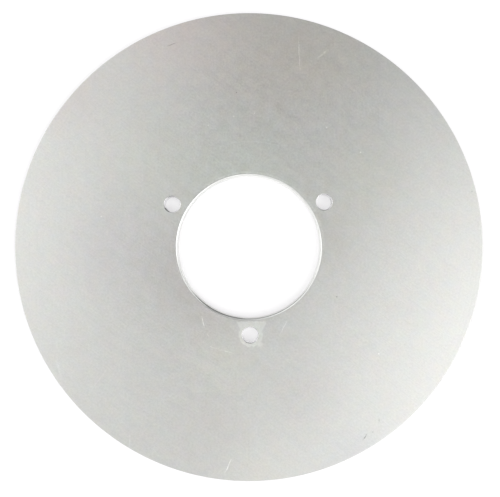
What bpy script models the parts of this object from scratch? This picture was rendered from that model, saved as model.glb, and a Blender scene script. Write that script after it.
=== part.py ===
"""One-piece brake disc rotor: a flat steel plate with a centre bore and three bolt holes.

The disc lies flat. Its axis is +Z, its hub face is on Z = 0, and the origin is the centre
of the bore on that face. One bolt hole is straight below the bore, towards -Y.
"""

import math

import bpy
from mathutils import Vector

INCH = 0.0254

# Driving dimensions, in metres.
OUTER_DIAMETER = 8.0 * INCH
THICKNESS = 3.0 / 16.0 * INCH
BORE_DIAMETER = (2.0 + 7.0 / 16.0) * INCH
BOLT_CIRCLE_DIAMETER = 3.0 * INCH
BOLT_HOLE_DIAMETER = 17.0 / 64.0 * INCH
BOLT_HOLES = 3
FIRST_HOLE_ANGLE = math.radians(-90.0)

OUTER_EDGE_BREAK = 0.0003
BORE_ROUNDING = 0.0009
HOLE_CHAMFER = 0.0002

# How finely the round faces are divided.
DISC_STEPS = 144
HOLE_STEPS = 40
ROUNDING_STEPS = 3
CUTTER_OVERRUN = 0.002


def clear_scene():
    for obj in list(bpy.data.objects):
        bpy.data.objects.remove(obj, do_unlink=True)
    for mesh in list(bpy.data.meshes):
        bpy.data.meshes.remove(mesh)


def collection(name):
    made = bpy.data.collections.new(name)
    bpy.context.scene.collection.children.link(made)
    return made


def steel():
    """Bare ground steel."""
    material = bpy.data.materials.new("ground_steel")
    material.use_nodes = True
    shader = material.node_tree.nodes["Principled BSDF"]
    shader.inputs["Base Color"].default_value = (0.56, 0.565, 0.545, 1.0)
    shader.inputs["Metallic"].default_value = 1.0
    shader.inputs["Roughness"].default_value = 0.42
    return material


def turned(name, profile, steps, into):
    """A closed profile of (radius, height) points, turned once about Z."""
    mesh = bpy.data.meshes.new(name)
    count = len(profile)
    mesh.from_pydata(
        [(radius, 0.0, height) for radius, height in profile],
        [(i, (i + 1) % count) for i in range(count)],
        [],
    )
    obj = bpy.data.objects.new(name, mesh)
    into.objects.link(obj)
    screw = obj.modifiers.new("turn", "SCREW")
    screw.axis = "Z"
    screw.angle = math.tau
    screw.steps = steps
    screw.render_steps = steps
    screw.use_merge_vertices = True
    screw.merge_threshold = 0.00001
    screw.use_smooth_shade = True
    return obj


def bore_rounding():
    """From the face to the bore's wall: (distance out from the wall, depth below the face)."""
    quarter = [math.pi / 2.0 * i / ROUNDING_STEPS for i in range(ROUNDING_STEPS + 1)]
    return [
        (BORE_ROUNDING * (1.0 - math.sin(a)), BORE_ROUNDING * (1.0 - math.cos(a)))
        for a in quarter
    ]


def disc_profile():
    """Down the rim, in along the hub face, up the bore and out along the outer face."""
    rim = OUTER_DIAMETER / 2.0
    bore = BORE_DIAMETER / 2.0
    lower = [(bore + out, depth) for out, depth in bore_rounding()]
    upper = [(radius, THICKNESS - height) for radius, height in reversed(lower)]
    return [
        (rim - OUTER_EDGE_BREAK, THICKNESS),
        (rim, THICKNESS - OUTER_EDGE_BREAK),
        (rim, OUTER_EDGE_BREAK),
        (rim - OUTER_EDGE_BREAK, 0.0),
    ] + lower + upper


def drill_profile():
    """A drill with a small countersink at each face, from above the disc to below it."""
    radius = BOLT_HOLE_DIAMETER / 2.0
    flare = radius + HOLE_CHAMFER + CUTTER_OVERRUN
    return [
        (0.0, THICKNESS + CUTTER_OVERRUN),
        (flare, THICKNESS + CUTTER_OVERRUN),
        (radius, THICKNESS - HOLE_CHAMFER),
        (radius, HOLE_CHAMFER),
        (flare, -CUTTER_OVERRUN),
        (0.0, -CUTTER_OVERRUN),
    ]


def drill(name, place, into):
    """A solid cutter: an open profile that starts and ends on its own axis."""
    profile = drill_profile()
    mesh = bpy.data.meshes.new(name)
    mesh.from_pydata(
        [(radius, 0.0, height) for radius, height in profile],
        [(i, i + 1) for i in range(len(profile) - 1)],
        [],
    )
    obj = bpy.data.objects.new(name, mesh)
    into.objects.link(obj)
    obj.location = place
    screw = obj.modifiers.new("turn", "SCREW")
    screw.axis = "Z"
    screw.angle = math.tau
    screw.steps = HOLE_STEPS
    screw.render_steps = HOLE_STEPS
    screw.use_merge_vertices = True
    screw.merge_threshold = 0.00001
    obj.hide_render = True
    obj.display_type = "WIRE"
    return obj


def main():
    clear_scene()
    parts = collection("brake_disc_rotor")
    cutters = collection("cutters")

    disc = turned("brake_disc", disc_profile(), DISC_STEPS, parts)
    disc.data.materials.append(steel())

    for i in range(BOLT_HOLES):
        angle = FIRST_HOLE_ANGLE + i * math.tau / BOLT_HOLES
        radius = BOLT_CIRCLE_DIAMETER / 2.0
        place = Vector((radius * math.cos(angle), radius * math.sin(angle), 0.0))
        cutter = drill(f"bolt_hole_cutter_{i + 1}", place, cutters)
        boolean = disc.modifiers.new(f"bolt_hole_{i + 1}", "BOOLEAN")
        boolean.operation = "DIFFERENCE"
        boolean.solver = "EXACT"
        boolean.object = cutter

    bpy.context.view_layer.update()
    graph = bpy.context.evaluated_depsgraph_get()
    mesh = bpy.data.meshes.new_from_object(disc.evaluated_get(graph))
    disc.modifiers.clear()
    disc.data = mesh
    mesh.name = "brake_disc"
    mesh.shade_smooth()
    mesh.set_sharp_from_angle(angle=math.radians(30.0))


main()
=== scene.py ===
import math
import random

import bpy
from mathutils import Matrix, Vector


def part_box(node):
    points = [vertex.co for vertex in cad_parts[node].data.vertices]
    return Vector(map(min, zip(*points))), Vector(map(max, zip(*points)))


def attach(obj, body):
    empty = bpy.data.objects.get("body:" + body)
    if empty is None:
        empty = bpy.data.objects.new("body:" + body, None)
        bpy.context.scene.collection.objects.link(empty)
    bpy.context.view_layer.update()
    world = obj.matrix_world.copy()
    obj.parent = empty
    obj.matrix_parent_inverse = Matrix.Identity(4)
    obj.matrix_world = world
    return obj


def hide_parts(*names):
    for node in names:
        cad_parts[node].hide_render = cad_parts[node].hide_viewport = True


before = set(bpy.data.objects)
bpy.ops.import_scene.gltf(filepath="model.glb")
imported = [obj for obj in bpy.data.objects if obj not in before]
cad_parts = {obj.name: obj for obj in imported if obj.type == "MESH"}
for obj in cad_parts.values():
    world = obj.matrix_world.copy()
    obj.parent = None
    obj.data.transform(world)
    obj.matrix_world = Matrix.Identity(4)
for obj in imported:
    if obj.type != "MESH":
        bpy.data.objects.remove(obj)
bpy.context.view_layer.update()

# ---------------------------------------------------------------- sizes, in metres
low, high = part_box("brake_disc")
TOP = high.z
RIM = (high.x - low.x) / 2.0
BORE = 0.0619125 / 2.0
BOLT_CIRCLE = 0.0762 / 2.0
HOLE = 0.00675 / 2.0
HOLE_ANGLES = (-90.0, 30.0, 150.0)
RIM_BREAK = 0.0003
BORE_BREAK = 0.0010
HOLE_BREAK = 0.0003

STEPS = 480  # round the disc
PATCH = 10  # a hole's patch is this many steps to each side of its centre
PATCH_HALF = 0.0050  # and this far in and out


# ---------------------------------------------------------------- the disc's surface
class Surface:
    """Collects points with their true normals, and faces with a material each."""

    def __init__(self):
        self.points, self.normals, self.faces, self.slots = [], [], [], []

    def point(self, co, normal):
        self.points.append(co)
        self.normals.append(normal)
        return len(self.points) - 1

    def quad(self, a, b, c, d, slot):
        self.faces.append((a, b, c, d))
        self.slots.append(slot)


def fillet(r, z, dr, dz, size, n):
    """Points of a rounded edge from the flat face to the wall, without its two ends. (r, z) is the sharp corner; dr and dz point from the metal out of the wall and out of the face."""
    found = []
    for i in range(1, n):
        a = math.pi / 2 * i / n
        found.append(
            (
                r - dr * size * (1 - math.sin(a)),
                z - dz * size * (1 - math.cos(a)),
                dr * math.sin(a),
                dz * math.cos(a),
            )
        )
    return found


def ring(surface, centre, profile, count, phase):
    """Rows of points for a turned strip: profile is (radius, height, radial normal, vertical normal)."""
    rows = []
    for r, z, nr, nz in profile:
        row = []
        for i in range(count):
            a = phase + math.tau * i / count
            c, s = math.cos(a), math.sin(a)
            row.append(
                surface.point(
                    (centre[0] + r * c, centre[1] + r * s, z), (nr * c, nr * s, nz)
                )
            )
        rows.append(row)
    return rows


def stitch(surface, upper, lower, slot):
    """Quads between two closed rows of the same length, facing away from the axis when upper is above lower."""
    n = len(upper)
    for i in range(n):
        j = (i + 1) % n
        surface.quad(upper[i], lower[i], lower[j], upper[j], slot)


def wall_profile(r, size, out, rows, n=4):
    """From just past the top face, round the edge, down the wall and round the lower edge. out is 1 for an outer wall and -1 for a bore or hole."""
    top = fillet(r, TOP, out, 1, size, n)
    bottom = [(a, TOP - z, nr, -nz) for a, z, nr, nz in reversed(top)]
    wall = [
        (r, TOP - size - (TOP - 2 * size) * i / rows, out, 0.0)
        for i in range(rows + 1)
    ]
    return top + wall + bottom


def build_disc():
    s = Surface()
    # Radii of the face's rows: close together near the bore and across the bolt holes.
    face_in, face_out = BORE + BORE_BREAK, RIM - RIM_BREAK
    patch_in, patch_out = BOLT_CIRCLE - PATCH_HALF, BOLT_CIRCLE + PATCH_HALF
    radii = [face_in + (patch_in - face_in) * i / 3 for i in range(3)]
    first = len(radii)
    radii += [patch_in + (patch_out - patch_in) * i / (2 * PATCH) for i in range(2 * PATCH)]
    last = len(radii)
    radii += [patch_out + (face_out - patch_out) * i / 26 for i in range(27)]
    centres = [round(a / 360.0 * STEPS) % STEPS for a in HOLE_ANGLES]

    def in_patch(row, col):
        return first <= row < last and any(
            (col - c + PATCH) % STEPS < 2 * PATCH for c in centres
        )

    def inside_patch(row, col):
        return first < row < last and any(
            0 < (col - c + PATCH) % STEPS < 2 * PATCH for c in centres
        )

    hole_rims = {}
    for side in (1, -1):
        z = TOP if side > 0 else 0.0
        grid = []
        for k, r in enumerate(radii):
            row = []
            for i in range(STEPS):
                if inside_patch(k, i):
                    row.append(None)
                    continue
                a = math.tau * i / STEPS
                row.append(
                    s.point((r * math.cos(a), r * math.sin(a), z), (0, 0, side))
                )
            grid.append(row)
        for k in range(len(radii) - 1):
            for i in range(STEPS):
                j = (i + 1) % STEPS
                if in_patch(k, i):
                    continue
                a, b, c, d = grid[k][i], grid[k + 1][i], grid[k + 1][j], grid[k][j]
                s.quad(*((a, b, c, d) if side > 0 else (d, c, b, a)), 0)
        for index, c in enumerate(centres):
            # The patch's edge, in order of angle round the hole, starting straight out.
            n = PATCH
            edge = [(last, c + i) for i in range(0, n + 1)]
            edge += [(last - i, c + n) for i in range(1, 2 * n + 1)]
            edge += [(first, c + n - i) for i in range(1, 2 * n + 1)]
            edge += [(first + i, c - n) for i in range(1, 2 * n + 1)]
            edge += [(last, c - n + i) for i in range(1, n)]
            loop = [grid[k][i % STEPS] for k, i in edge]
            a0 = math.radians(HOLE_ANGLES[index])
            cx, cy = BOLT_CIRCLE * math.cos(a0), BOLT_CIRCLE * math.sin(a0)
            reach = HOLE + HOLE_BREAK
            rows = [loop]
            between = 4
            for m in range(1, between + 1):
                t = m / between
                row = []
                for i, v in enumerate(loop):
                    a = a0 + math.tau * i / len(loop)
                    x, y = cx + reach * math.cos(a), cy + reach * math.sin(a)
                    ox, oy, _ = s.points[v]
                    row.append(
                        s.point(
                            (ox + (x - ox) * t, oy + (y - oy) * t, z), (0, 0, side)
                        )
                    )
                rows.append(row)
            for outer, inner in zip(rows, rows[1:]):
                if side > 0:
                    stitch(s, inner, outer, 0)
                else:
                    stitch(s, outer, inner, 0)
            hole_rims[index, side] = rows[-1]
        grid_in, grid_out = grid[0], grid[-1]
        if side > 0:
            top_in, top_out = grid_in, grid_out
        else:
            low_in, low_out = grid_in, grid_out

    def wall(upper, lower, centre, profile, count, phase, outside, slot):
        rows = [upper] + ring(s, centre, profile, count, phase) + [lower]
        for a, b in zip(rows, rows[1:]):
            if outside:
                stitch(s, a, b, slot)
            else:
                stitch(s, b, a, slot)

    wall(top_out, low_out, (0, 0), wall_profile(RIM, RIM_BREAK, 1, 6, 5), STEPS, 0.0, True, 1)
    wall(top_in, low_in, (0, 0), wall_profile(BORE, BORE_BREAK, -1, 6, 10), STEPS, 0.0, False, 1)
    for index, angle in enumerate(HOLE_ANGLES):
        a0 = math.radians(angle)
        centre = (BOLT_CIRCLE * math.cos(a0), BOLT_CIRCLE * math.sin(a0))
        profile = wall_profile(HOLE, HOLE_BREAK, -1, 6, 4)
        wall(
            hole_rims[index, 1], hole_rims[index, -1], centre, profile,
            len(hole_rims[index, 1]), a0, False, 2,
        )

    mesh = bpy.data.meshes.new("brake_disc_plate")
    mesh.from_pydata(s.points, [], s.faces)
    mesh.polygons.foreach_set("material_index", s.slots)
    mesh.shade_smooth()
    mesh.validate()
    mesh.normals_split_custom_set_from_vertices([Vector(n).normalized() for n in s.normals])
    obj = bpy.data.objects.new("brake_disc_plate", mesh)
    bpy.context.scene.collection.objects.link(obj)
    return obj


# ---------------------------------------------------------------- materials
# Materials are laid out in object space, in millimetres. The plate lies in XY.
BASE = (0.4766, 0.4786, 0.4625)  # ground steel, a little green

# Marks on the upper face: x, y of both ends, half width, and how much lighter (or, below 0, darker) the metal is there.
UPPER_STROKES = [
    (22.8, 90.3, 23.3, 76.4, 0.28, 0.383),
    (30.8, 81.3, 35.6, 85.1, 0.55, 0.269),
    (-53.0, -79.9, -53.0, -86.8, 0.28, 0.152),
    (-42.9, -86.5, -40.4, -90.5, 0.28, 0.085),
    (-8.8, -91.8, -12.0, -97.9, 0.28, 0.483),
    (-21.0, -29.8, -19.6, -34.8, 0.28, 0.544),
    (-18.9, -36.6, -17.9, -39.2, 0.28, 0.240),
    (16.3, -31.8, 12.7, -38.4, 0.30, 0.229),
    (-84.5, -47.2, -82.0, -55.9, 0.70, 0.097),
    (-71.3, -63.9, -61.6, -50.5, 0.40, 0.070),
    (73.5, -5.8, 73.9, -11.9, 0.35, 0.037),
    (-21.5, -40.0, -16.0, -43.6, 0.34, 0.110),
    (-15.4, -43.4, -13.6, -44.0, 0.30, 0.140),
    (-13.6, -44.0, -6.9, -46.1, 0.34, 0.116),
    (-1.3, -46.2, 5.6, -46.2, 0.30, 0.060),
    (-34.4, 87.5, -30.0, 89.2, 0.28, -0.432),
    (55.4, -75.1, 55.3, -76.8, 0.28, -0.374),
    (50.1, -81.5, 48.3, -84.5, 0.30, -0.529),
]
# Spots on the upper face: x, y, radius, strength.
UPPER_SPOTS = [
    (52.6, -81.0, 0.42, -0.341),
    (37.8, -22.1, 0.40, -0.480),
    (-4.4, 67.2, 0.45, -0.396),
    (97.1, 22.7, 0.50, -0.291),
    (72.8, -34.8, 0.42, -0.038),
    (67.0, -43.4, 0.42, -0.145),
    (71.0, -37.4, 0.38, -0.094),
    (34.5, 51.4, 0.42, 0.362),
    (55.7, -47.1, 0.42, 0.386),
    (75.1, 33.5, 0.38, 0.204),
    (-16.8, 53.1, 0.42, 0.210),
    (-5.8, 56.8, 0.40, 0.226),
    (3.3, 58.0, 0.40, 0.290),
    (-63.9, 14.2, 0.45, 0.300),
    (49.1, 40.4, 0.42, 0.344),
    (45.6, 55.7, 2.6, -0.018),
    (8.0, 69.2, 2.4, -0.016),
    (54.0, 30.5, 2.4, -0.014),
    (80.4, 22.3, 3.0, 0.018),
    (-92.5, 15.7, 3.2, 0.016),
    (-54.9, -1.7, 3.0, 0.014),
    (-75.6, -20.1, 3.0, 0.014),
    (-41.0, 76.3, 3.0, 0.014),
    (-84.2, -13.5, 3.0, 0.014),
]
# Rubbed arcs round the bore on the upper face: radius, first and last angle in degrees, half width, strength.
UPPER_ARCS = [
    (45.8, 66, 104, 0.34, 0.070),
    (46.3, 245, 262, 0.34, 0.080),
    (56.9, 73, 97, 0.40, 0.022),
    (60.5, 64, 75, 0.40, 0.022),
]
# Painted shade and painted highlights along the arris: the bore's, then each bolt hole's by its centre.
BORE_ARRIS_PAINTED_SHADE_AND_HIGHLIGHT = [
    (31.14, 215, 268, 0.25, -0.84),
    (31.14, 250, 328, 0.25, -0.52),
    (31.22, -72, 248, 0.38, 0.30),
    (31.58, 200, 236, 0.40, 0.46),
    (31.54, 234, 322, 0.38, 0.42),
    (31.45, 40, 114, 0.65, 0.36),
    (31.28, -22, 60, 0.42, 0.05),
]
# Painted highlights on the upper face just outside the bore: radius, first and last angle in degrees, half width,
# strength.
BORE_FACE_PAINTED_HIGHLIGHT = [
    (32.3, 38, 132, 0.80, 0.14),
    (32.4, -4, 44, 0.90, 0.15),
    (32.2, 180, 216, 0.55, 0.08),
]
# Painted shade and painted highlights at each bolt hole's arris, by the hole's centre: radius, first and last angle in
# degrees, half width, strength.
HOLE_ARRIS_PAINTED_SHADE_AND_HIGHLIGHT = [
    ((-33.0, 19.05), [(3.55, 74, 130, 0.40, -0.24), (3.36, 200, 252, 0.40, -0.80)]),
    ((33.0, 19.05), [(3.50, 232, 295, 0.36, -0.18)]),
    ((0.0, -38.1), [(3.62, 228, 315, 0.24, -0.24), (3.375, 215, 325, 0.14, 0.30)]),
]
# Painted shade: a dark line low on the wall of the right hole.
HOLE_WALL_PAINTED_SHADE = ((33.0, 19.05), [(3.375, -24, 30, 0.2, -0.5)])
# Wide soft stains on the upper face: x, y, radius, and what they add to red, green and blue.
STAINS = [
    (-30, -10, 30, (-0.072, -0.090, -0.090)),
    (12, 82, 42, (0.000, -0.040, -0.068)),
    (-2, 26, 42, (0.038, 0.074, 0.035)),
    (-60, 0, 30, (-0.034, -0.047, -0.024)),
    (32, 3, 22, (-0.055, -0.064, -0.083)),
    (25, -63, 22, (-0.032, -0.044, -0.039)),
    (-30, 96, 42, (0.046, -0.020, -0.019)),
    (-80, 70, 30, (-0.023, -0.068, -0.063)),
    (50, 30, 30, (-0.015, -0.012, -0.043)),
    (-19, -78, 22, (-0.020, -0.036, -0.040)),
    (40, 80, 30, (0.000, -0.015, -0.041)),
    (-12, -49, 22, (0.041, 0.038, 0.007)),
    (3, -100, 22, (0.047, 0.040, 0.020)),
    (-40, 40, 30, (0.020, 0.029, 0.004)),
    (47, -93, 22, (-0.063, -0.052, -0.021)),
    (-19, -27, 22, (-0.022, -0.045, -0.049)),
]
GRAIN = -37.0  # degrees: the grinding grain of the faces runs this way


class Nodes:
    """A short way to write a node tree."""

    def __init__(self, tree):
        self.tree = tree

    def add(self, kind, inputs=None, **settings):
        node = self.tree.nodes.new(kind)
        for name, value in settings.items():
            setattr(node, name, value)
        for key, value in (inputs or {}).items():
            socket = node.inputs[key]
            if isinstance(value, bpy.types.NodeSocket):
                self.tree.links.new(value, socket)
            else:
                socket.default_value = value
        return node

    def math(self, operation, a, b=None, c=None, clamp=False):
        inputs = {0: a}
        if b is not None:
            inputs[1] = b
        if c is not None:
            inputs[2] = c
        return self.add("ShaderNodeMath", inputs, operation=operation, use_clamp=clamp).outputs[0]

    def total(self, *terms):
        found = terms[0]
        for term in terms[1:]:
            found = self.math("ADD", found, term)
        return found

    def vector(self, operation, a, b=None, c=None, scale=None):
        inputs = {0: a}
        if b is not None:
            inputs[1] = b
        if c is not None:
            inputs[2] = c
        if scale is not None:
            inputs["Scale"] = scale
        node = self.add("ShaderNodeVectorMath", inputs, operation=operation)
        scalar = operation in ("DOT_PRODUCT", "LENGTH", "DISTANCE")
        return node.outputs["Value" if scalar else "Vector"]

    def combine(self, x, y, z=0.0):
        return self.add("ShaderNodeCombineXYZ", {"X": x, "Y": y, "Z": z}).outputs["Vector"]

    def remap(self, value, a, b, c=0.0, d=1.0):
        """From a..b to c..d with soft ends, and no further."""
        node = self.add(
            "ShaderNodeMapRange",
            {"Value": value, "From Min": a, "From Max": b, "To Min": c, "To Max": d},
            interpolation_type="SMOOTHSTEP",
        )
        return node.outputs["Result"]

    def noise(self, vector, scale, detail=2.0, rough=0.5):
        """Noise about 0, mostly within -1..1; a feature is about 1/scale across."""
        node = self.add(
            "ShaderNodeTexNoise",
            {"Vector": vector, "Scale": scale, "Detail": detail, "Roughness": rough},
        )
        return self.math("MULTIPLY_ADD", node.outputs["Fac"], 4.0, -2.0)


def steel(name, bump_distance):
    """A metal with its node helper, its shader, its position in mm, and a bump to feed."""
    material = bpy.data.materials.new(name)
    material.use_nodes = True
    n = Nodes(material.node_tree)
    shader = material.node_tree.nodes["Principled BSDF"]
    shader.inputs["Metallic"].default_value = 1.0
    place = n.add("ShaderNodeTexCoord").outputs["Object"]
    mm = n.vector("SCALE", place, scale=1000.0)
    bump = n.add("ShaderNodeBump", {"Strength": 1.0, "Distance": bump_distance})
    n.tree.links.new(bump.outputs["Normal"], shader.inputs["Normal"])
    return material, n, shader, mm, bump


def stroke_group():
    """A node group: how much a point lies on a straight stroke that thins out towards its ends."""
    tree = bpy.data.node_groups.new("stroke", "ShaderNodeTree")
    for name, kind in (
        ("Point", "NodeSocketVector"),
        ("Start", "NodeSocketVector"),
        ("Run", "NodeSocketVector"),
        ("Half Width", "NodeSocketFloat"),
    ):
        tree.interface.new_socket(name, in_out="INPUT", socket_type=kind)
    tree.interface.new_socket("Mask", in_out="OUTPUT", socket_type="NodeSocketFloat")
    n = Nodes(tree)
    given = n.add("NodeGroupInput").outputs
    away = n.vector("SUBTRACT", given["Point"], given["Start"])
    along = n.math(
        "DIVIDE",
        n.vector("DOT_PRODUCT", away, given["Run"]),
        n.vector("DOT_PRODUCT", given["Run"], given["Run"]),
        clamp=True,
    )
    foot = n.vector("SCALE", given["Run"], scale=along)
    distance = n.math("DIVIDE", n.vector("DISTANCE", away, foot), given["Half Width"])
    line = n.remap(distance, 1.0, 0.2)
    ends = n.math("MULTIPLY", along, n.math("SUBTRACT", 1.0, along))
    ends = n.math("MULTIPLY_ADD", ends, 3.2, 0.2, clamp=True)
    n.add("NodeGroupOutput", {"Mask": n.math("MULTIPLY", line, ends)})
    return tree


STROKE = stroke_group()


def strokes(n, place, listed):
    """The strengths of all the listed strokes, added up."""
    found = 0.0
    for x0, y0, x1, y1, half, strength in listed:
        mask = n.add(
            "ShaderNodeGroup",
            {},
            node_tree=STROKE,
        )
        n.tree.links.new(place, mask.inputs["Point"])
        mask.inputs["Start"].default_value = (x0, y0, 0)
        mask.inputs["Run"].default_value = (x1 - x0, y1 - y0, 0)
        mask.inputs["Half Width"].default_value = half
        found = n.math("MULTIPLY_ADD", mask.outputs["Mask"], strength, found)
    return found


def spots(n, place, listed):
    found = 0.0
    for x, y, radius, strength in listed:
        mask = n.remap(n.vector("DISTANCE", place, (x, y, 0)), radius, radius * 0.25)
        found = n.math("MULTIPLY_ADD", mask, strength, found)
    return found


def stains(n, place, listed):
    """What the stains multiply the metal's colour by."""
    found = (1.0, 1.0, 1.0)
    for x, y, radius, colour in listed:
        mask = n.remap(n.vector("DISTANCE", place, (x, y, 0)), radius, 0.0)
        found = n.vector("MULTIPLY_ADD", colour, mask, found)
    return found


def arcs(n, place, centre, listed):
    """Arcs round a centre: radius, first and last angle in degrees, half width, strength."""
    away = n.vector("SUBTRACT", place, (centre[0], centre[1], 0))
    radius = n.vector("LENGTH", away)
    way = n.vector("NORMALIZE", away)
    found = 0.0
    for r, first, last, half, strength in listed:
        off = n.math("ABSOLUTE", n.math("SUBTRACT", radius, r))
        line = n.remap(off, half, half * 0.2)
        middle, reach = math.radians(first + last) / 2, math.radians(last - first) / 2
        turn = n.vector("DOT_PRODUCT", way, (math.cos(middle), math.sin(middle), 0))
        line = n.math("MULTIPLY", line, n.remap(turn, math.cos(reach), math.cos(reach / 2)))
        found = n.math("MULTIPLY_ADD", line, strength, found)
    return found


def lower_marks():
    """Handling marks of the lower face: the same kinds and sizes as on the upper one, at places of their own."""
    pick = random.Random(31)
    lines, dots = [], []
    for _ in range(14):
        r, a, turn = pick.uniform(48, 96), pick.uniform(0, math.tau), pick.uniform(0, math.pi)
        length = pick.uniform(3, 11)
        x, y = r * math.cos(a), r * math.sin(a)
        lines.append(
            (
                x, y, x + length * math.cos(turn), y + length * math.sin(turn),
                pick.uniform(0.24, 0.4), pick.choice((0.08, 0.06, 0.04, -0.06)),
            )
        )
    for _ in range(16):
        r, a = pick.uniform(46, 98), pick.uniform(0, math.tau)
        dots.append(
            (r * math.cos(a), r * math.sin(a), pick.uniform(0.36, 0.5), pick.choice((0.05, 0.06, -0.06)))
        )
    for _ in range(8):
        r, a = pick.uniform(50, 92), pick.uniform(0, math.tau)
        dots.append(
            (r * math.cos(a), r * math.sin(a), pick.uniform(2.2, 3.4), pick.choice((0.016, -0.016)))
        )
    return lines, dots


def ground_face():
    """Ground steel: a fine matt grain one way, cloudy patches, handling marks, and the print that a bolt's head left round one hole."""
    material, n, shader, mm, bump = steel("ground_face", 1.2e-5)
    axes = n.add("ShaderNodeSeparateXYZ", {"Vector": mm}).outputs
    x, y, z = axes["X"], axes["Y"], axes["Z"]
    upper = n.math("GREATER_THAN", z, TOP * 500)
    lower = n.math("SUBTRACT", 1.0, upper)
    flat = n.combine(x, y)
    # Each face has a pattern of its own.
    place = n.combine(x, y, n.math("MULTIPLY", lower, 61.7))
    radius = n.vector("LENGTH", flat)
    angle = n.math("MULTIPLY_ADD", n.math("ARCTAN2", n.math("MULTIPLY", y, -1.0), n.math("MULTIPLY", x, -1.0)), 180 / math.pi, 180.0)

    c, s = math.cos(math.radians(GRAIN)), math.sin(math.radians(GRAIN))
    along = n.vector("DOT_PRODUCT", mm, (c, s, 0))
    across = n.vector("DOT_PRODUCT", mm, (-s, c, 0))
    offset = n.math("MULTIPLY", lower, 17.3)

    # Grain, as long thin streaks at two sizes, and the speckle that breaks them up.
    fine = n.noise(n.combine(n.math("MULTIPLY", along, 0.10), n.math("MULTIPLY", across, 2.4), offset), 1.0, 2.0)
    broad = n.noise(n.combine(n.math("MULTIPLY", along, 0.022), n.math("MULTIPLY", across, 0.42), offset), 1.0, 2.0)
    speckle = n.noise(place, 1.15, 1.0, 0.5)
    dust = n.noise(place, 2.6, 0.0)
    cloud = n.noise(place, 0.24, 2.0, 0.55)
    patch = n.noise(place, 0.045, 2.0, 0.5)

    # Faint lines round the axis, left near the rim.
    near_rim = n.math("MULTIPLY", n.remap(radius, 88.0, 94.0), n.remap(n.noise(place, 0.03, 1.0), -0.3, 0.6, 0.1, 1.0))
    ring = n.noise(n.combine(n.math("MULTIPLY", radius, 1.3), n.math("MULTIPLY", angle, 0.02), offset), 1.0, 1.0)
    rings = n.math("MULTIPLY", ring, near_rim)

    # Marks wander a little and are broken along their length.
    wander = n.vector("SCALE", n.add("ShaderNodeTexNoise", {"Vector": flat, "Scale": 0.35, "Detail": 2.0}).outputs["Color"], scale=0.9)
    drawn = n.vector("SUBTRACT", n.vector("ADD", flat, wander), (0.45, 0.45, 0.45))
    drawn = n.vector("MULTIPLY", drawn, (1, 1, 0))
    broken = n.remap(n.noise(place, 0.8, 2.0), -0.7, 0.35, 0.35, 1.0)
    # The upper marks are real scratches and rubbed arcs, plus the painted highlights by the bore.
    upper_marks_and_bore_highlight = n.total(
        strokes(n, drawn, UPPER_STROKES),
        arcs(n, flat, (0, 0), UPPER_ARCS + BORE_FACE_PAINTED_HIGHLIGHT),
    )
    # Painted shade and painted highlights at the bolt holes' edges.
    arris = n.total(*(arcs(n, flat, centre, listed) for centre, listed in HOLE_ARRIS_PAINTED_SHADE_AND_HIGHLIGHT))
    lines, dots = lower_marks()
    lower_sum = n.math("MULTIPLY", strokes(n, drawn, lines), broken)
    lower_sum = n.math("ADD", lower_sum, spots(n, flat, dots))
    upper_sum = n.math("ADD", n.math("MULTIPLY", upper_marks_and_bore_highlight, broken), spots(n, flat, UPPER_SPOTS))
    marks = n.math("ADD", n.math("MULTIPLY", upper_sum, upper), n.math("MULTIPLY", lower_sum, lower))

    # The print of the bolt's head: round the bottom hole, flat towards the bore, with a tail at its lower right.
    ragged = n.math("MULTIPLY", n.noise(flat, 0.9, 3.0, 0.6), 0.30)
    hole = n.vector("DISTANCE", drawn, (0.3, -BOLT_CIRCLE * 1000, 0))
    round_part = n.remap(n.math("ADD", hole, ragged), 5.5, 4.9)
    side = n.math("ABSOLUTE", n.math("SUBTRACT", x, 0.7))
    top_side = n.math("SUBTRACT", side, n.math("MULTIPLY", n.math("ADD", y, 33.2), 0.55))
    wedge = n.math(
        "MULTIPLY",
        n.remap(n.math("ADD", top_side, ragged), 6.6, 5.9),
        n.math("MULTIPLY", n.remap(n.math("ADD", y, ragged), -32.1, -32.6), n.remap(y, -38.0, -36.6)),
    )
    tail = n.add("ShaderNodeGroup", {}, node_tree=STROKE)
    n.tree.links.new(drawn, tail.inputs["Point"])
    tail.inputs["Start"].default_value = (2.6, -40.6, 0)
    tail.inputs["Run"].default_value = (2.4, -2.8, 0)
    tail.inputs["Half Width"].default_value = 2.0
    pad = n.math("MAXIMUM", n.math("MAXIMUM", round_part, wedge), tail.outputs["Mask"])
    pad = n.math("MULTIPLY", pad, upper)
    pad = n.math("MULTIPLY", pad, n.remap(n.noise(place, 0.5, 2.0), -1.0, 0.6, 0.75, 1.0))

    # How light the metal is, around 1.
    light = n.total(
        1.0,
        n.math("MULTIPLY", fine, 0.0275),
        n.math("MULTIPLY", broad, 0.014),
        n.math("MULTIPLY", speckle, 0.056),
        n.math("MULTIPLY", dust, 0.016),
        n.math("MULTIPLY", cloud, 0.0255),
        n.math("MULTIPLY", patch, 0.0125),
        n.math("MULTIPLY", rings, 0.020),
        marks,
        arris,
        n.math("MULTIPLY", pad, 0.19),
    )
    # Warmer and greener clouds, and the green of the bolt's print.
    warm = n.noise(place, 0.14, 3.0, 0.6)
    blue = n.noise(place, 0.25, 2.0, 0.6)
    tint = n.vector("SCALE", (0.0100, -0.0055, -0.004), scale=warm)
    tint = n.vector("ADD", tint, n.vector("SCALE", (-0.0045, -0.006, 0.0115), scale=blue))
    tint = n.vector("ADD", tint, n.vector("SCALE", (-0.004, 0.001, -0.005), scale=pad))
    colour = n.vector("SCALE", n.vector("ADD", tint, BASE), scale=light)
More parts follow.
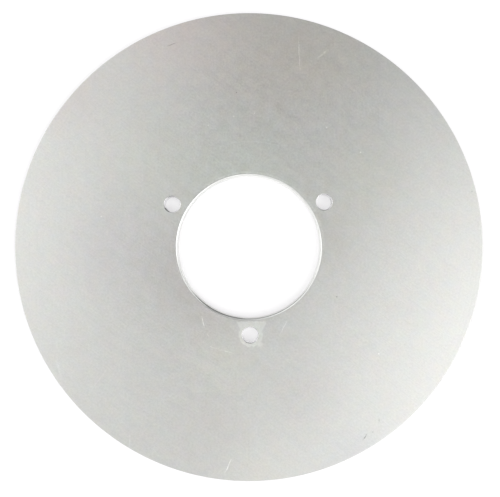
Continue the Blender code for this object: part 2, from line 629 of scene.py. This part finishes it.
    # The lower face has the same stains turned half round.
    turned = n.vector("SCALE", flat, scale=n.math("MULTIPLY_ADD", upper, 2.0, -1.0))
    colour = n.vector("MULTIPLY", colour, stains(n, turned, STAINS))
    n.tree.links.new(colour, shader.inputs["Base Color"])

    rough = n.total(
        0.45,
        n.math("MULTIPLY", cloud, 0.018),
        n.math("MULTIPLY", broad, 0.012),
        n.math("MULTIPLY", speckle, 0.015),
        n.math("MULTIPLY", marks, -0.06),
    )
    n.tree.links.new(rough, shader.inputs["Roughness"])

    height = n.total(n.math("MULTIPLY", fine, 0.6), n.math("MULTIPLY", speckle, 0.4))
    n.tree.links.new(height, bump.inputs["Height"])
    return material


def turned_edge():
    """The rim and the bore: lathe lines round them, with short scuffs and a burnished arris."""
    material, n, shader, mm, bump = steel("turned_edge", 8e-6)
    axes = n.add("ShaderNodeSeparateXYZ", {"Vector": mm}).outputs
    x, y, z = axes["X"], axes["Y"], axes["Z"]
    turns = n.noise(n.combine(n.math("MULTIPLY", x, 0.03), n.math("MULTIPLY", y, 0.03), n.math("MULTIPLY", z, 7.0)), 1.0, 3.0, 0.6)
    bands = n.noise(n.combine(n.math("MULTIPLY", x, 0.02), n.math("MULTIPLY", y, 0.02), n.math("MULTIPLY", z, 1.1)), 1.0, 2.0)
    speckle = n.noise(mm, 1.6, 2.0)
    scuff = n.remap(n.noise(n.combine(n.math("MULTIPLY", x, 0.35), n.math("MULTIPLY", y, 0.35), n.math("MULTIPLY", z, 1.6)), 1.0, 2.0), 0.55, 1.1)
    # How near a point is to the flat faces, where handling has polished the arris.
    middle = n.math("ABSOLUTE", n.math("SUBTRACT", z, TOP * 500))
    arris = n.remap(middle, TOP * 500 - 0.35, TOP * 500 - 0.05)
    radius = n.vector("LENGTH", n.combine(x, y))
    # Painted highlight: the bore's wall and the steep end of its rounded edge are made half again as light.
    bore_wall_painted_highlight = n.remap(radius, 31.22, 31.0)
    # Painted shade along the bore's lower arris and painted highlights round the rest of it.
    bore_arris_painted_shade_and_highlight = arcs(n, n.combine(x, y), (0, 0), BORE_ARRIS_PAINTED_SHADE_AND_HIGHLIGHT)
    light = n.total(
        1.0,
        n.math("MULTIPLY", turns, 0.05),
        n.math("MULTIPLY", bands, 0.03),
        n.math("MULTIPLY", speckle, 0.02),
        n.math("MULTIPLY", scuff, 0.10),
        n.math("MULTIPLY", arris, 0.05),
        n.math("MULTIPLY", bore_wall_painted_highlight, 0.50),
        bore_arris_painted_shade_and_highlight,
    )
    colour = n.vector("SCALE", (0.505, 0.510, 0.496), scale=light)
    n.tree.links.new(colour, shader.inputs["Base Color"])
    rough = n.total(
        0.36,
        n.math("MULTIPLY", turns, 0.03),
        n.math("MULTIPLY", speckle, 0.02),
        n.math("MULTIPLY", scuff, 0.08),
        n.math("MULTIPLY", arris, -0.04),
    )
    n.tree.links.new(rough, shader.inputs["Roughness"])
    height = n.total(turns, n.math("MULTIPLY", speckle, 0.25), n.math("MULTIPLY", scuff, -0.6))
    n.tree.links.new(height, bump.inputs["Height"])
    return material


def drilled_wall():
    """The bolt holes: a drill's spiral lines and the grey of a thread's rubbing."""
    material, n, shader, mm, bump = steel("drilled_wall", 1.2e-5)
    axes = n.add("ShaderNodeSeparateXYZ", {"Vector": mm}).outputs
    x, y, z = axes["X"], axes["Y"], axes["Z"]
    lines = n.noise(n.combine(n.math("MULTIPLY", x, 0.12), n.math("MULTIPLY", y, 0.12), n.math("MULTIPLY", z, 4.5)), 1.0, 3.0, 0.6)
    speckle = n.noise(mm, 2.0, 2.0)
    rubbed = n.remap(n.noise(mm, 0.5, 2.0), -0.2, 0.8)
    flat = n.combine(x, y)
    light = n.total(
        1.0,
        n.math("MULTIPLY", lines, 0.08),
        n.math("MULTIPLY", speckle, 0.03),
        n.math("MULTIPLY", rubbed, -0.08),
        n.math("MULTIPLY", n.remap(n.math("ABSOLUTE", n.math("SUBTRACT", z, TOP * 500)), TOP * 500 - 0.36, TOP * 500 - 0.24), -0.26),
        # Painted shade and painted highlights at the holes' arris.
        *(arcs(n, flat, centre, listed) for centre, listed in HOLE_ARRIS_PAINTED_SHADE_AND_HIGHLIGHT),
        # Painted shade: the dark line low on the right hole's wall.
        n.math(
            "MULTIPLY",
            arcs(n, flat, *HOLE_WALL_PAINTED_SHADE),
            n.math("MULTIPLY", n.remap(z, 0.8, 1.6), n.remap(z, 3.6, 2.8)),
        ),
    )
    colour = n.vector("SCALE", (0.82, 0.82, 0.825), scale=light)
    n.tree.links.new(colour, shader.inputs["Base Color"])
    rough = n.total(0.20, n.math("MULTIPLY", lines, 0.04), n.math("MULTIPLY", rubbed, 0.08))
    n.tree.links.new(rough, shader.inputs["Roughness"])
    height = n.total(lines, n.math("MULTIPLY", speckle, 0.3))
    n.tree.links.new(height, bump.inputs["Height"])
    return material


disc = build_disc()
for made in (ground_face(), turned_edge(), drilled_wall()):
    disc.data.materials.append(made)
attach(disc, "root")
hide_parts("brake_disc")


# ---------------------------------------------------------------- floor, light and camera
def floor():
    bpy.ops.mesh.primitive_plane_add(size=6.0, location=(0, 0, -0.00005))
    plane = bpy.context.object
    plane.name = "floor"
    material = bpy.data.materials.new("pale_floor")
    material.use_nodes = True
    shader = material.node_tree.nodes["Principled BSDF"]
    shader.inputs["Base Color"].default_value = (0.45, 0.45, 0.45, 1)
    shader.inputs["Roughness"].default_value = 0.9
    shader.inputs["Specular IOR Level"].default_value = 0.2
    # It glows a little, as the top of a light table does.
    shader.inputs["Emission Color"].default_value = (1, 0.985, 1, 1)
    shader.inputs["Emission Strength"].default_value = 0.49
    plane.data.materials.append(material)
    return plane


def softbox(name, azimuth, elevation, distance, size, watts, colour=(1, 1, 1)):
    """A square light that faces the disc. Azimuth is from +X towards +Y, in degrees."""
    light = bpy.data.lights.new(name, "AREA")
    light.shape = "SQUARE"
    light.size = size
    light.energy = watts
    light.color = colour
    obj = bpy.data.objects.new(name, light)
    a, e = math.radians(azimuth), math.radians(elevation)
    away = Vector((math.cos(a) * math.cos(e), math.sin(a) * math.cos(e), math.sin(e)))
    obj.location = away * distance
    obj.rotation_mode = "QUATERNION"
    obj.rotation_quaternion = away.to_track_quat("Z", "Y")
    bpy.context.scene.collection.objects.link(obj)
    return obj


def camera():
    """Straight over the disc, as the object is seen: its centre a little up and left of the middle, turned by less than a degree."""
    distance = 0.24
    data = bpy.data.cameras.new("camera")
    data.sensor_width = 36.0
    data.lens = 36.0 * distance / (500 * 0.0004338)
    data.clip_start, data.clip_end = 0.01, 50.0
    data.dof.use_dof = False
    obj = bpy.data.objects.new("camera", data)
    turn = math.radians(-0.84)
    x, y = 1.1 * 0.0004342, -1.4 * 0.0004342
    obj.location = (
        x * math.cos(turn) - y * math.sin(turn),
        x * math.sin(turn) + y * math.cos(turn),
        TOP + distance,
    )
    obj.rotation_euler = (0, 0, turn)
    bpy.context.scene.collection.objects.link(obj)
    bpy.context.scene.camera = obj
    return obj


# Large soft boxes all round, strongest from the front right and weakest beyond the top edge: name, azimuth, elevation, watts.
RIG = [
    ("right", 0, 40, 5.9),
    ("front_right", 330, 40, 9.23),
    ("front", 300, 40, 2.6),
    ("front_left", 240, 40, 2.71),
    ("left_front", 210, 40, 2.25),
    ("left", 180, 40, 4.55),
    ("left_back", 150, 40, 6.3),
    ("back_left", 120, 40, 1.39),
    ("high_front", 300, 60, 0.65),
]

floor()
camera()
for name, azimuth, elevation, watts in RIG:
    softbox(name, azimuth, elevation, 1.2, 1.5, watts)

world = bpy.data.worlds.new("studio")
bpy.context.scene.world = world
world.use_nodes = True
world.node_tree.nodes["Background"].inputs["Color"].default_value = (1, 1, 1, 1)
world.node_tree.nodes["Background"].inputs["Strength"].default_value = 0.35
bpy.context.scene.view_settings.view_transform = "Standard"
